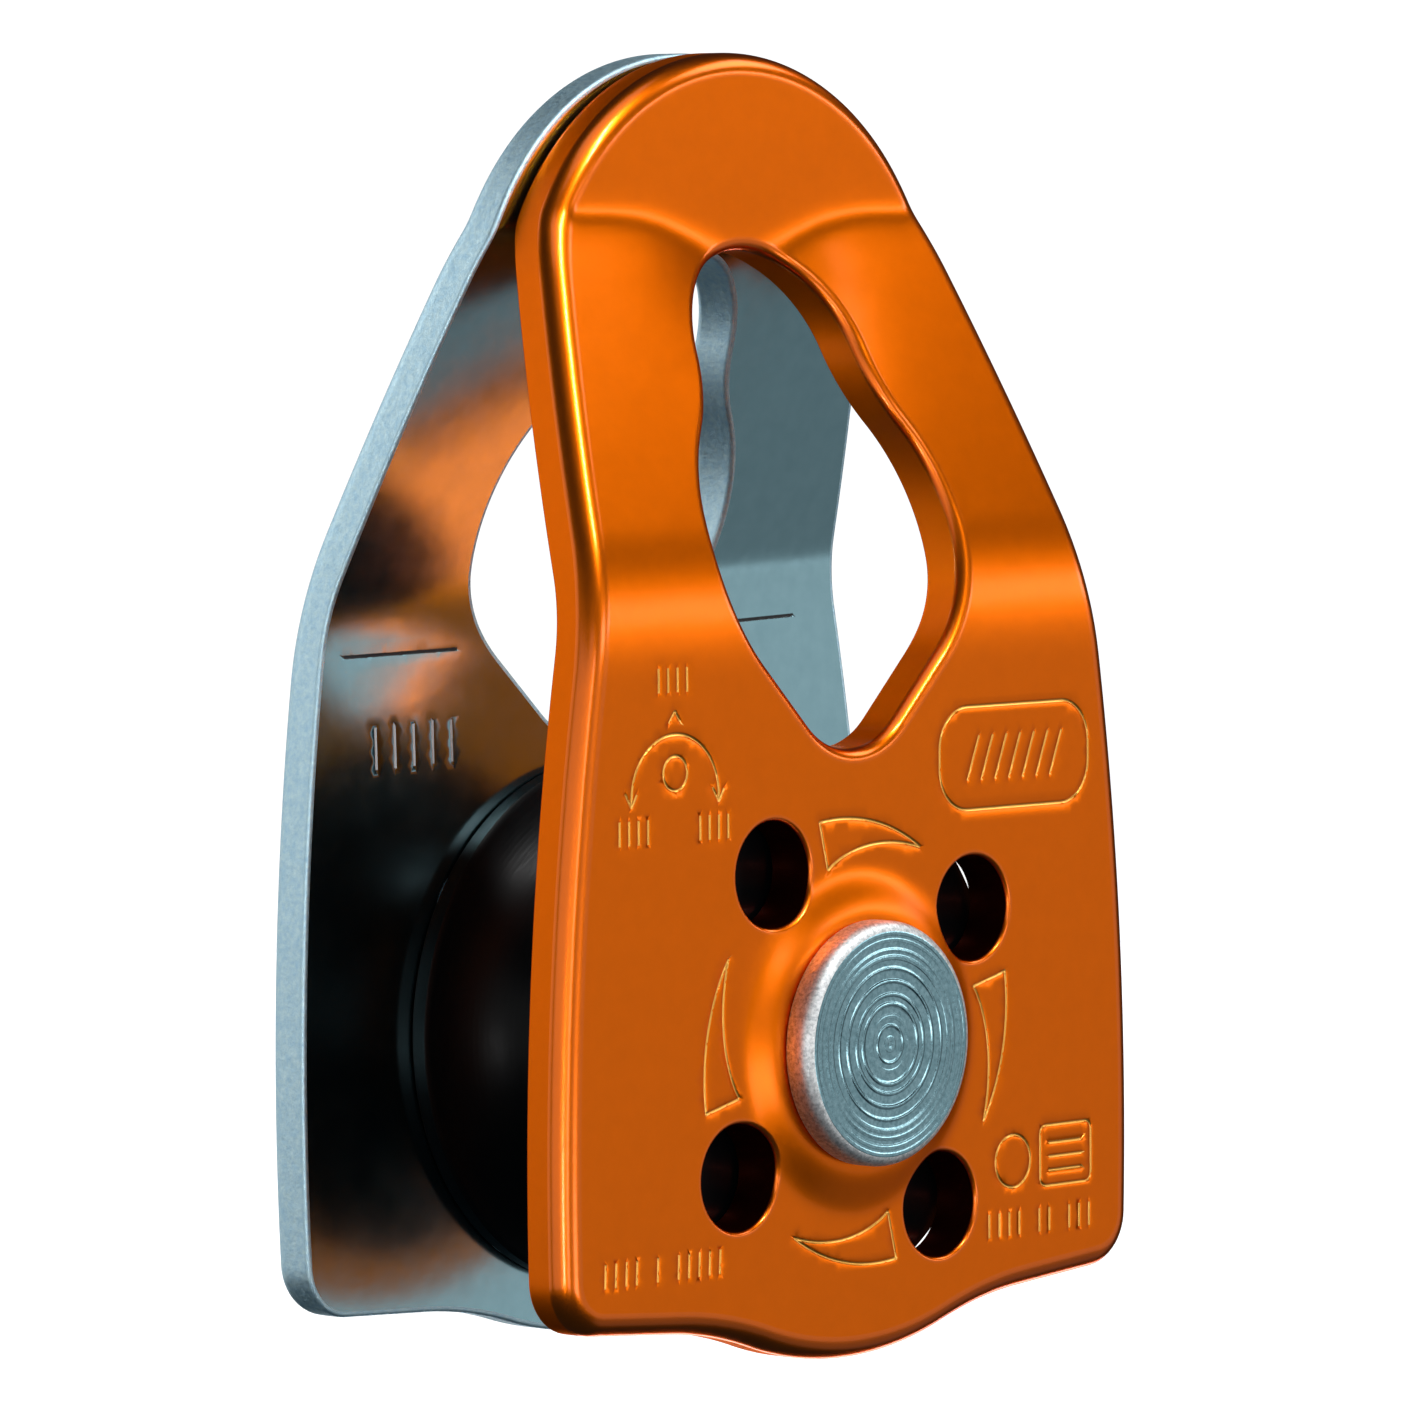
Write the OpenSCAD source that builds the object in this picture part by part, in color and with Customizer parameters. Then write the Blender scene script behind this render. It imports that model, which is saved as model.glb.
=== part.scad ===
// Rope pulley: two bent side plates that swing on one axle, with a grooved sheave on two
// ball bearings between them. X runs across the plates, Y along the axle from the front
// plate to the rear one, and Z up to the carabiner eye. The origin is the middle of the axle.

/* [Side plates] */
// Thickness of the plate stock
plate_t = 3.7; // [3.5:0.1:4]
// Clear width between the two plates beside the sheave
inner_gap = 22; // [22:0.1:22.6]
// Gap left between the plates where they lie together at the eye
head_gap = 0.4; // [0.3:0.1:1]
// Half width of a plate at its widest
half_w = 30; // [29.5:0.1:30.5]
// Radius of the long side curves
side_r = 220; // [200:5:240]
// Radius of the rounded head
head_r = 21.8; // [21.5:0.1:22.2]
// Height of the centre of the head's arc
head_z = 48.2; // [47.5:0.1:49]

/* [Foot of the plates] */
// How far the middle lobe reaches below the axle
lobe_depth = 22.6; // [22.2:0.1:23]
// Radius of the lobe
lobe_r = 30; // [28:0.5:32]
// Radius of the hollow beside the lobe
lobe_fillet_r = 35; // [30:1:40]
// Slope of the foot beside the hollow, in degrees
foot_slope = 4.6; // [3:0.1:6]
// Depth of the foot line, carried in to the middle
foot_depth = 20.67; // [20.5:0.01:20.8]
// Radius of the lower corners
corner_r = 4; // [3:0.1:5]

/* [Bends] */
// Height at which a plate starts to lean inwards
low_bend_z = 31.5; // [30.5:0.1:32]
// Height at which it stands upright again
high_bend_z = 57.7; // [57:0.1:58.5]
// Radius of the lower bend, in the middle of the stock
low_bend_r = 26; // [20:1:28]
// Radius of the upper bend, in the middle of the stock
high_bend_r = 11; // [8:0.5:14]

/* [Carabiner eye] */
// Radius of the top of the eye, where the carabiner sits
eye_top_r = 8.3; // [8:0.1:8.5]
// Height of the centre of that arc
eye_top_z = 47.6; // [47:0.1:48]
// Radius of the wide part of the eye
eye_belly_r = 12.7; // [12.4:0.1:13]
// Height of the centre of the wide part
eye_belly_z = 36; // [35.7:0.1:36.3]
// Radius of the two shoulders that narrow the eye
eye_waist_r = 12; // [10:0.5:14]
// Radius of the bottom of the eye
eye_foot_r = 6.5; // [6:0.1:7]

/* [Holes in the plates] */
// Radius of the four lightening holes
hole_r = 3.8; // [3.5:0.1:4]
// Radius of the circle they lie on
hole_circle_r = 15.1; // [14.8:0.1:15.3]
// Turn of the hole pattern, in degrees
hole_turn = -9.9; // [-12:0.1:-8]
// Height of the raised cone around the axle
boss_h = 0.9; // [0.6:0.1:1]
// Radius of the cone at the plate
boss_r = 11.8; // [11.6:0.1:12]
// Radius of the flat top of the cone
boss_top_r = 9.6; // [9.2:0.1:10]

/* [Axle] */
// Radius of the axle
axle_r = 6; // [5.8:0.05:6]
// Radius of the axle's heads
axle_head_r = 8.7; // [8.5:0.1:9]
// Distance from the middle to the outer face of a head
axle_end = 17.85; // [17.6:0.05:18.2]
// Radius of the rear end that the rear head is riveted on
rivet_r = 4.5; // [4:0.1:5]
// Running clearance between the axle and a plate, on the radius
axle_play = 0.08; // [0.05:0.01:0.1]

/* [Sheave] */
// Outer radius of the sheave
sheave_r = 19.1; // [18.8:0.1:19.2]
// Half the width of the sheave
sheave_half = 10.7; // [10.6:0.05:10.7]
// Radius of the groove's bottom
groove_bottom_r = 12; // [11.9:0.1:12.5]
// Radius of the groove's round section
groove_r = 10; // [9.6:0.1:10]

/* [Ball bearings] */
// Outer radius of a bearing
bearing_r = 10.5; // [10.4:0.05:10.5]
// Width of a bearing
bearing_w = 5; // [4.9:0.1:5]
// Distance from the middle of the axle to the inner side of a bearing
bearing_start = 5.2; // [5:0.1:5.2]
// Radius of a ball
ball_r = 1.2; // [1.1:0.05:1.2]
// Number of balls in a bearing
balls = 12; // [9:1:12]

/* [Hidden] */
$fn = 96;

// The rear plate stands turned a little on the axle
rear_turn = -1.7;

// Middle of the stock, seen along X: [y, z] at the two bends, and the lean between them
low_corner = [-(inner_gap + plate_t) / 2, low_bend_z];
high_corner = [-(head_gap + plate_t) / 2, high_bend_z];
lean = atan2(high_corner[0] - low_corner[0], high_corner[1] - low_corner[1]);
low_c = low_corner + [low_bend_r, -low_bend_r * tan(lean / 2)];
high_c = high_corner + [-high_bend_r, high_bend_r * tan(lean / 2)];

// A side curve touches the head's arc from outside
side_c = [
    half_w - side_r,
    head_z - sqrt(pow(side_r - head_r, 2) - pow(side_r - half_w, 2))
];
side_touch = [0, head_z] + head_r * unit([0, head_z] - side_c);

// The foot line, its outward direction and the normal that points down from it
foot_dir = [cos(foot_slope), sin(foot_slope)];
foot_down = [sin(foot_slope), -cos(foot_slope)];
lobe_c = [0, lobe_r - lobe_depth];
lobe_to_foot = (lobe_c[1] + foot_depth) * cos(foot_slope);
fillet_along = sqrt(pow(lobe_r + lobe_fillet_r, 2) - pow(lobe_to_foot + lobe_fillet_r, 2));
fillet_touch = lobe_c + lobe_to_foot * foot_down + fillet_along * foot_dir;
fillet_c = fillet_touch + lobe_fillet_r * foot_down;
lobe_touch = lobe_c + lobe_r * unit(fillet_c - lobe_c);

// A corner arc touches the foot line and the side curve from inside
corner_base = [0, -foot_depth] - corner_r * foot_down;
corner_mid = (side_c - corner_base) * foot_dir;
corner_off = norm(side_c - corner_base - corner_mid * foot_dir);
corner_along = corner_mid + sqrt(pow(side_r - corner_r, 2) - pow(corner_off, 2));
corner_c = corner_base + corner_along * foot_dir;
corner_side_touch = side_c + side_r * unit(corner_c - side_c);
corner_foot_touch = corner_c + corner_r * foot_down;

// Well outside the plate, level with the side's upper end and on the foot line
wide = 80;
side_far = [wide, side_touch[1]];
foot_far = [wide, wide * tan(foot_slope) - foot_depth];

// Straight flanks of the eye lean at 45 degrees and touch the belly and the bottom arc
eye_flank = 45;
eye_foot_z = eye_belly_z - (eye_belly_r - eye_foot_r) / sin(eye_flank);
waist_d = eye_top_z - eye_belly_z;
waist_z = eye_belly_z
    + (pow(eye_belly_r + eye_waist_r, 2) - pow(eye_top_r + eye_waist_r, 2) + pow(waist_d, 2))
    / (2 * waist_d);
waist_x = sqrt(pow(eye_belly_r + eye_waist_r, 2) - pow(waist_z - eye_belly_z, 2));
waist_c = [waist_x, waist_z];
top_angle = atan2(waist_z - eye_top_z, waist_x);
belly_angle = atan2(waist_z - eye_belly_z, waist_x);

// Places along the axle
inner_face = inner_gap / 2;
outer_face = inner_face + plate_t;
end_play = 0.05;
head_seat = outer_face + boss_h + end_play;
bearing_end = bearing_start + bearing_w;
washer_r = 7.6;
washer_gap = 0.1;
recess_depth = 0.6;
recess_r = 8.2;
head_edge = 0.6;
rivet_cone = 0.8;

// Inside of a bearing, measured from its middle plane
bearing_mid = bearing_start + bearing_w / 2;
pitch_r = (bearing_r + axle_r) / 2;
race_r = ball_r + 0.05;
inner_shoulder_r = pitch_r - 0.7;
outer_shoulder_r = pitch_r + 0.7;
ring_fit = 0.01;
seal_seat_r = outer_shoulder_r + 0.35;
seal_t = 0.45;
seal_seat_t = 0.65;
cage_half = 0.5;
cage_back = 1.75;
cage_front = 0.7;
pocket_r = ball_r + 0.1;
land_r = bearing_r - 1.2;
rim_edge = 0.35;
tall = 200;
arc_steps = 14;

function unit(v) = v / norm(v);
function flip(p) = [-p[0], p[1]];
function at(c, r, a) = c + r * [cos(a), sin(a)];
function reversed(list) = [for (i = [len(list) - 1:-1:0]) list[i]];

// Points along an arc
function arc(c, r, from, to) = [
    for (i = [0:arc_steps]) at(c, r, from + (to - from) * i / arc_steps)
];

// One face of the front plate's stock seen along X, from the foot up; off is its distance
// from the middle of the stock, positive on the inner side
function stock_face(off) = concat(
    [[low_corner[0] + off, -wide]],
    arc(low_c, low_bend_r - off, 180, 180 - lean),
    arc(high_c, high_bend_r + off, -lean, 0),
    [[high_corner[0] + off, wide]]
);

// The right half of the eye from its top down
function eye_half() = concat(
    arc([0, eye_top_z], eye_top_r, 90, top_angle),
    arc(waist_c, eye_waist_r, 180 + top_angle, 180 + belly_angle),
    arc([0, eye_belly_z], eye_belly_r, belly_angle, -eye_flank),
    arc([0, eye_foot_z], eye_foot_r, -eye_flank, -90)
);

// Turns a profile of [radius, place along the axle] about the axle
module turned() {
    rotate([-90, 0, 0]) rotate_extrude($fn = 180) children();
}

module ring(r_in, r_out, from, to) {
    turned() translate([r_in, from]) square([r_out - r_in, to - from]);
}

// A disc along the axle between two places
module disc(r, from, to) {
    translate([0, from, 0]) rotate([-90, 0, 0]) cylinder(r = r, h = to - from);
}

// The front plate's stock seen along X, [y, z]
module bent_stock() {
    polygon(concat(stock_face(plate_t / 2), reversed(stock_face(-plate_t / 2))));
}

// The outline of a plate, [x, z]
module outline() {
    difference() {
        union() {
            intersection() {
                translate(side_c) circle(side_r, $fn = 720);
                translate(flip(side_c)) circle(side_r, $fn = 720);
                polygon([
                    flip(side_far), flip(foot_far), flip(fillet_touch), flip(lobe_touch),
                    lobe_touch, fillet_touch, foot_far, side_far
                ]);
            }
            translate([0, head_z]) circle(head_r);
            intersection() {
                translate(lobe_c) circle(lobe_r, $fn = 360);
                translate([-lobe_touch[0], -lobe_r]) square([2 * lobe_touch[0], lobe_r]);
            }
        }
        for (s = [-1, 1]) scale([s, 1]) {
            translate(fillet_c) circle(lobe_fillet_r, $fn = 360);
            difference() {
                polygon([
                    corner_c, corner_foot_touch, [half_w + 5, corner_foot_touch[1] - 5],
                    corner_side_touch
                ]);
                translate(corner_c) circle(corner_r);
            }
        }
    }
}

// The carabiner eye, [x, z]
module eye() {
    polygon(concat(eye_half(), reversed([for (p = eye_half()) flip(p)])));
}

// Cuts a shape given in [x, z] right through along Y
module through() {
    translate([0, tall / 2, 0]) rotate([90, 0, 0]) linear_extrude(tall) children();
}

// One side plate, in the front plate's place
module side_plate() {
    difference() {
        union() {
            intersection() {
                rotate([90, 0, 90]) translate([0, 0, -wide]) linear_extrude(2 * wide) bent_stock();
                through() outline();
            }
            translate([0, -outer_face - boss_h, 0]) rotate([-90, 0, 0])
                cylinder(r1 = boss_top_r, r2 = boss_r, h = boss_h, $fn = 180);
        }
        through() eye();
        for (i = [0:3]) rotate([0, -hole_turn - 45 - 90 * i, 0])
            translate([hole_circle_r, 0, 0]) rotate([90, 0, 0])
                cylinder(r = hole_r, h = tall, center = true);
        disc(axle_r + axle_play, -tall, 0);
        disc(recess_r, -inner_face - recess_depth, 0);
    }
}

module front_side_plate() {
    color("darkorange") side_plate();
}

// The same pressing, turned to face the other way
module rear_side_plate() {
    color("lightsteelblue") rotate([0, rear_turn, 0]) rotate([0, 0, 180]) side_plate();
}

module sheave() {
    color("#1c1e22") turned() difference() {
        polygon([
            [0, -sheave_half], [sheave_r - rim_edge, -sheave_half],
            [sheave_r, -sheave_half + rim_edge], [sheave_r, sheave_half - rim_edge],
            [sheave_r - rim_edge, sheave_half], [0, sheave_half]
        ]);
        translate([groove_bottom_r + groove_r, 0]) circle(groove_r);
        translate([-1, -wide]) square([land_r + 1, 2 * wide]);
        for (s = [-1, 1]) scale([1, s])
            translate([0, bearing_start]) square([bearing_r, wide]);
    }
}

module axle() {
    color("silver") {
        turned() polygon([
            [0, -axle_end], [axle_head_r - head_edge, -axle_end],
            [axle_head_r, -axle_end + head_edge], [axle_head_r, -head_seat],
            [axle_r, -head_seat], [axle_r, head_seat], [rivet_r, head_seat],
            [rivet_r, axle_end - rivet_cone], [rivet_r + rivet_cone, axle_end], [0, axle_end]
        ]);
    }
}

// Riveted over the rear end of the axle
module rear_axle_head() {
    fit = rivet_r + ring_fit;
    color("silver") turned() polygon([
        [fit, head_seat], [axle_head_r, head_seat], [axle_head_r, axle_end - head_edge],
        [axle_head_r - head_edge, axle_end], [fit + rivet_cone, axle_end],
        [fit, axle_end - rivet_cone]
    ]);
}

// Keeps the two inner rings apart
module bearing_spacer() {
    color("silver") ring(axle_r + ring_fit, inner_shoulder_r, -bearing_start, bearing_start);
}

// Sits in the plate's recess, against the inner ring
module thrust_washer() {
    ring(axle_r + ring_fit, washer_r, bearing_end, inner_face + recess_depth - washer_gap);
}

module front_thrust_washer() {
    color("ivory") rotate([0, 0, 180]) thrust_washer();
}

module rear_thrust_washer() {
    color("ivory") thrust_washer();
}

// Puts a rear bearing's part in the front bearing's place
module front() {
    rotate([0, 0, 180]) children();
}

module bearing_outer_ring() {
    color("lightgray") turned() difference() {
        translate([outer_shoulder_r, bearing_start])
            square([bearing_r - ring_fit - outer_shoulder_r, bearing_w]);
        translate([pitch_r, bearing_mid]) circle(race_r);
        for (s = [-1, 1]) translate([0, bearing_mid + s * bearing_w / 2])
            square([2 * seal_seat_r, 2 * seal_seat_t], center = true);
    }
}

module bearing_inner_ring() {
    color("lightgray") turned() difference() {
        translate([axle_r + ring_fit, bearing_start])
            square([inner_shoulder_r - axle_r - ring_fit, bearing_w]);
        translate([pitch_r, bearing_mid]) circle(race_r);
    }
}

// Puts its children where the balls are
module at_balls() {
    for (i = [0:balls - 1]) rotate([0, 360 / balls * i, 0])
        translate([pitch_r, bearing_mid, 0]) children();
}

module bearing_balls() {
    color("whitesmoke") at_balls() sphere(ball_r, $fn = 32);
}

module bearing_cage() {
    color("tan") difference() {
        ring(pitch_r - cage_half, pitch_r + cage_half,
            bearing_mid - cage_front, bearing_mid + cage_back);
        at_balls() rotate([0, 90, 0]) cylinder(r = pocket_r, h = 4 * cage_half, center = true);
    }
}

module bearing_seal(from) {
    color("dimgray") ring(inner_shoulder_r + 0.1, seal_seat_r, from, from + seal_t);
}

module bearing_outer_seal() {
    bearing_seal(bearing_end - seal_seat_t);
}

module bearing_inner_seal() {
    bearing_seal(bearing_start + seal_seat_t - seal_t);
}

front_side_plate();
rear_side_plate();
sheave();
axle();
rear_axle_head();
bearing_spacer();
front_thrust_washer();
rear_thrust_washer();
front() bearing_outer_ring();  // front_bearing_outer_ring
front() bearing_inner_ring();  // front_bearing_inner_ring
front() bearing_balls();  // front_bearing_balls
front() bearing_cage();  // front_bearing_cage
front() bearing_outer_seal();  // front_bearing_outer_seal
front() bearing_inner_seal();  // front_bearing_inner_seal
bearing_outer_ring();  // rear_bearing_outer_ring
bearing_inner_ring();  // rear_bearing_inner_ring
bearing_balls();  // rear_bearing_balls
bearing_cage();  // rear_bearing_cage
bearing_outer_seal();  // rear_bearing_outer_seal
bearing_inner_seal();  // rear_bearing_inner_seal
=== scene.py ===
"""Rope pulley: the looks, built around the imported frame.

Two bent side plates, orange anodised in front and tumbled bare metal behind, swing on one axle
with a black grooved sheave between them. X runs across the plates, Y along the axle to the
rear and Z up to the carabiner eye. Shapes are worked out in millimetres and turned into
metres when their mesh is made.
"""

import math

import bmesh
import bpy
import numpy as np
from mathutils import Matrix, Vector, geometry, kdtree


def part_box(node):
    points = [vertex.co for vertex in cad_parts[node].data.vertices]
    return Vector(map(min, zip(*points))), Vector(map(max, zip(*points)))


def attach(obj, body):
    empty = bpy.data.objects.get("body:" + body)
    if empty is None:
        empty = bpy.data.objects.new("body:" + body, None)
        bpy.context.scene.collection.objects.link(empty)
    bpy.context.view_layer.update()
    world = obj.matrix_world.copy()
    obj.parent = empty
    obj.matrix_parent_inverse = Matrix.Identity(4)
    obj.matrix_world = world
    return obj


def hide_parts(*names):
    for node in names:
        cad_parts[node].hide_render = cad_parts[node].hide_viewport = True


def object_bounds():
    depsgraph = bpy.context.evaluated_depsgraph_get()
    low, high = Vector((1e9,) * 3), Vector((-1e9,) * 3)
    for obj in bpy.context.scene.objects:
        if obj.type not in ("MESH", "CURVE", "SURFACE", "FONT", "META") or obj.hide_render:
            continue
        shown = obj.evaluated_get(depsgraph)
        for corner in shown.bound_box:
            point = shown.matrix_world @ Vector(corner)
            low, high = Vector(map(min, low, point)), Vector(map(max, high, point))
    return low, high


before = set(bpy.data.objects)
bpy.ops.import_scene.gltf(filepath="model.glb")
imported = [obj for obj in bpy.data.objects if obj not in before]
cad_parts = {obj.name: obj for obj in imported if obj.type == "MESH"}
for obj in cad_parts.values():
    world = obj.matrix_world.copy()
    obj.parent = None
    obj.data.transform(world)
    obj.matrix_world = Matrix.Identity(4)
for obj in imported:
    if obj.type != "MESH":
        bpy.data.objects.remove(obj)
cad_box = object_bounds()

MM = 0.001

# Stock of the side plates, and where it bends
STOCK = 3.7
INNER_GAP = 22
HEAD_GAP = 0.4
LOW_BEND_Z = 31.5
HIGH_BEND_Z = 58.2
LOW_BEND_R = 26
LOW_BEND_INNER_R = 15

# Outline of a side plate
HALF_W = 30
SIDE_R = 220
HEAD_R = 21.8
HEAD_Z = 48.2
LOBE_DEPTH = 22.6
LOBE_R = 30
LOBE_FILLET_R = 35
FOOT_SLOPE = 4.6
FOOT_DEPTH = 20.67
CORNER_R = 4

# Carabiner eye
EYE_TOP_R = 8.3
EYE_TOP_Z = 47.6
EYE_BELLY_R = 12.7
EYE_BELLY_Z = 36
EYE_WAIST_R = 12
EYE_FOOT_R = 6.5
EYE_FLANK = 45

# Holes and the raised cone around the axle
HOLE_R = 3.8
HOLE_CIRCLE_R = 15.1
HOLE_TURN = -9.9
BOSS_H = 0.9
BOSS_R = 12.9
BOSS_TOP_R = 8.5
BORE_R = 6.08
RECESS_R = 8.2
RECESS_DEPTH = 0.6
REAR_TURN = -1.7

# Roundings of the plates' edges
SIDE_ROUND = 1.6
EYE_ROUND = 0.9
HOLE_ROUND = 0.3
BACK_ROUND = 0.3
HOLE_BACK_ROUND = 0.05
ROUND_STEPS = 14
EDGE_STEP = 0.5
FACE_STEP = 0.75

# Stamped marks and the creases of the press: half width and depth
LINE_HALF = 0.17
LINE_DEPTH = 0.1
CREASE_HALF = 0.16
CREASE_DEPTH = 0.02
LINE_STEP = 0.08
TICK_H = 1.7

# Mesh of a face: spacing of the rings over the cone, cells that thin out the marks' points,
# and the gaps that free points keep to the marks and to the edges
RING_STEP = 0.3
RING_MARGIN = 0.8
RING_POINTS_PER_MM = 12
MARK_CELL = 0.06
MARK_GAP = 0.25
EDGE_GAP = 0.28

# Zones of a pressing, each with its own finish
WALL, FACE, ROUNDING, HOLE, MARK, CREASE = range(6)


def direction(degrees):
    turn = np.radians(degrees)
    return np.stack([np.cos(turn), np.sin(turn)], -1)


def angle_of(v):
    return math.degrees(math.atan2(v[1], v[0]))


# ---------------------------------------------------------------- bends of the stock

stock_half = STOCK / 2
low_y = -(INNER_GAP + STOCK) / 2
high_y = -(HEAD_GAP + STOCK) / 2
lean = math.atan2(high_y - low_y, HIGH_BEND_Z - LOW_BEND_Z)


def low_stock_y(z, off):
    """Where a face of the stock lies along the axle up to the upper bend; off is its distance
    from the middle of the stock, positive on the inner side."""
    radius = LOW_BEND_INNER_R if off > 0 else LOW_BEND_R - off
    corner_z = LOW_BEND_Z - off * math.tan(lean / 2)
    centre = np.array([low_y + off + radius, corner_z - radius * math.tan(lean / 2)])
    top = centre + radius * np.array([-math.cos(lean), math.sin(lean)])
    bent = centre[0] - np.sqrt(np.maximum(radius**2 - (z - centre[1]) ** 2, 0))
    slanted = top[0] + (z - top[1]) * math.tan(lean)
    return np.select([z < centre[1], z < top[1]], [low_y + off, bent], slanted)


# The upper bend starts gently and then turns sharply. Over the eye it lies lower and is drawn
# out, and below the eye's top the face returns to its plane
GENTLE_SHARE = 0.2
GENTLE_LENGTH = 5
TIGHT_LENGTH = 1.3
DRAWN_LENGTH = 3
DIP = 3.2
DIP_WIDTH = 7
RETURN_FROM = 54
RETURN_OVER = 14


def eased(below, length):
    """How far a slope of one has come down, when it takes a length to build up."""
    below = np.clip(below, 0, None)
    return np.where(below < length, below**2 / (2 * length), below - length / 2)


def stock_y(x, z, off):
    """Where a face of the stock lies along the axle."""
    near_eye = np.exp(-((x / DIP_WIDTH) ** 2))
    corner_z = HIGH_BEND_Z - off * math.tan(lean / 2) - DIP * near_eye
    tight = TIGHT_LENGTH + (DRAWN_LENGTH - TIGHT_LENGTH) * near_eye
    ramp = (1 - GENTLE_SHARE) * eased(corner_z + tight / 2 - z, tight)
    ramp += GENTLE_SHARE * eased(corner_z + GENTLE_LENGTH / 2 - z, GENTLE_LENGTH)
    fade = np.clip((RETURN_FROM - z) / RETURN_OVER, 0, 1)
    ramp += DIP * near_eye * fade**2 * (3 - 2 * fade)
    drawn = high_y + off - math.tan(lean) * ramp
    return np.where(z < HEAD_Z, np.maximum(drawn, low_stock_y(z, off)), drawn)


# ---------------------------------------------------------------- outlines


def arc(centre, radius, start, end, step=EDGE_STEP, hollow=False):
    """Points along an arc and, at each, the direction that points into the metal."""
    count = 2 + int(radius * math.radians(abs(end - start)) / step)
    rays = direction(np.linspace(start, end, count))
    return np.array(centre) + radius * rays, (rays if hollow else -rays)


def straight(start, end, inward, step=EDGE_STEP):
    count = 2 + int(np.linalg.norm(end - start) / step)
    points = start + (end - start) * np.linspace(0, 1, count)[:, None]
    return points, np.tile(inward, (count, 1))


def mirrored(half):
    """A closed loop from the stretches of its right half, which begin and end at x = 0."""
    points = np.concatenate([p for p, _ in half])
    inward = np.concatenate([n for _, n in half])
    fresh = np.r_[True, np.linalg.norm(np.diff(points, axis=0), axis=1) > 1e-6]
    points, inward = points[fresh], inward[fresh]
    points[[0, -1], 0] = 0
    left = points[-2:0:-1] * (-1, 1), inward[-2:0:-1] * (-1, 1)
    return np.concatenate([points, left[0]]), np.concatenate([inward, left[1]])


def plate_outline():
    head_c = np.array([0, HEAD_Z])
    side_up = math.sqrt((SIDE_R - HEAD_R) ** 2 - (SIDE_R - HALF_W) ** 2)
    side_c = np.array([HALF_W - SIDE_R, HEAD_Z - side_up])
    head_start = angle_of(head_c - side_c)

    foot_dir = direction(FOOT_SLOPE)
    foot_down = direction(FOOT_SLOPE - 90)
    lobe_c = np.array([0, LOBE_R - LOBE_DEPTH])
    lobe_to_foot = (lobe_c[1] + FOOT_DEPTH) * math.cos(math.radians(FOOT_SLOPE))
    along = math.sqrt((LOBE_R + LOBE_FILLET_R) ** 2 - (lobe_to_foot + LOBE_FILLET_R) ** 2)
    fillet_touch = lobe_c + lobe_to_foot * foot_down + along * foot_dir
    fillet_c = fillet_touch + LOBE_FILLET_R * foot_down
    lobe_end = angle_of(fillet_c - lobe_c)

    corner_base = np.array([0, -FOOT_DEPTH]) - CORNER_R * foot_down
    corner_mid = (side_c - corner_base) @ foot_dir
    corner_off = np.linalg.norm(side_c - corner_base - corner_mid * foot_dir)
    corner_along = corner_mid + math.sqrt((SIDE_R - CORNER_R) ** 2 - corner_off**2)
    corner_c = corner_base + corner_along * foot_dir
    corner_end = angle_of(corner_c - side_c)

    return mirrored([
        arc(lobe_c, LOBE_R, -90, lobe_end),
        arc(fillet_c, LOBE_FILLET_R, lobe_end + 180, FOOT_SLOPE + 90, hollow=True),
        straight(fillet_touch, corner_c + CORNER_R * foot_down, -foot_down),
        arc(corner_c, CORNER_R, FOOT_SLOPE - 90, corner_end),
        arc(side_c, SIDE_R, corner_end, head_start),
        arc(head_c, HEAD_R, head_start, 90),
    ])


def eye_outline():
    top_c = np.array([0, EYE_TOP_Z])
    belly_c = np.array([0, EYE_BELLY_Z])
    rise = EYE_TOP_Z - EYE_BELLY_Z
    to_belly = EYE_BELLY_R + EYE_WAIST_R
    to_top = EYE_TOP_R + EYE_WAIST_R
    waist_up = (to_belly**2 - to_top**2 + rise**2) / (2 * rise)
    waist_c = np.array([math.sqrt(to_belly**2 - waist_up**2), EYE_BELLY_Z + waist_up])
    top_end = angle_of(waist_c - top_c)
    belly_start = angle_of(waist_c - belly_c)
    drop = (EYE_BELLY_R - EYE_FOOT_R) / math.sin(math.radians(EYE_FLANK))
    foot_c = belly_c - (0, drop)
    flank = direction(-EYE_FLANK)
    return mirrored([
        arc(top_c, EYE_TOP_R, 90, top_end, hollow=True),
        arc(waist_c, EYE_WAIST_R, 180 + top_end, 180 + belly_start),
        arc(belly_c, EYE_BELLY_R, belly_start, -EYE_FLANK, hollow=True),
        straight(belly_c + EYE_BELLY_R * flank, foot_c + EYE_FOOT_R * flank, flank),
        arc(foot_c, EYE_FOOT_R, -EYE_FLANK, -90, hollow=True),
    ])


def round_hole(centre, radius, step=EDGE_STEP):
    points, inward = arc(centre, radius, 0, 360, step, hollow=True)
    return points[:-1], inward[:-1]


hole_centres = HOLE_CIRCLE_R * direction(HOLE_TURN + 45 + 90 * np.arange(4))


# ---------------------------------------------------------------- stamped marks


def stroke(*corners):
    """A line through the corners, as closely spaced points."""
    pieces = [straight(np.array(a, float), np.array(b, float), (0, 0), LINE_STEP)[0]
              for a, b in zip(corners, corners[1:])]
    return np.concatenate(pieces)


def curve(centre, radius, start, end):
    return arc(centre, radius, start, end, LINE_STEP)[0]


def wedge(turn, sweep=41, wide=(12.7, 16.25), tip_r=15):
    """A tapered arrow that follows a circle round the axle, wide at turn, clockwise to its tip."""
    t = np.linspace(0, 1, 150)[:, None]
    rays = direction(turn - sweep * t[:, 0])
    outer = rays * (wide[1] + (tip_r - wide[1]) * t)
    inner = rays * (wide[0] + (tip_r - wide[0]) * t**0.8)
    return [outer, inner, stroke(outer[0], inner[0])]


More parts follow.
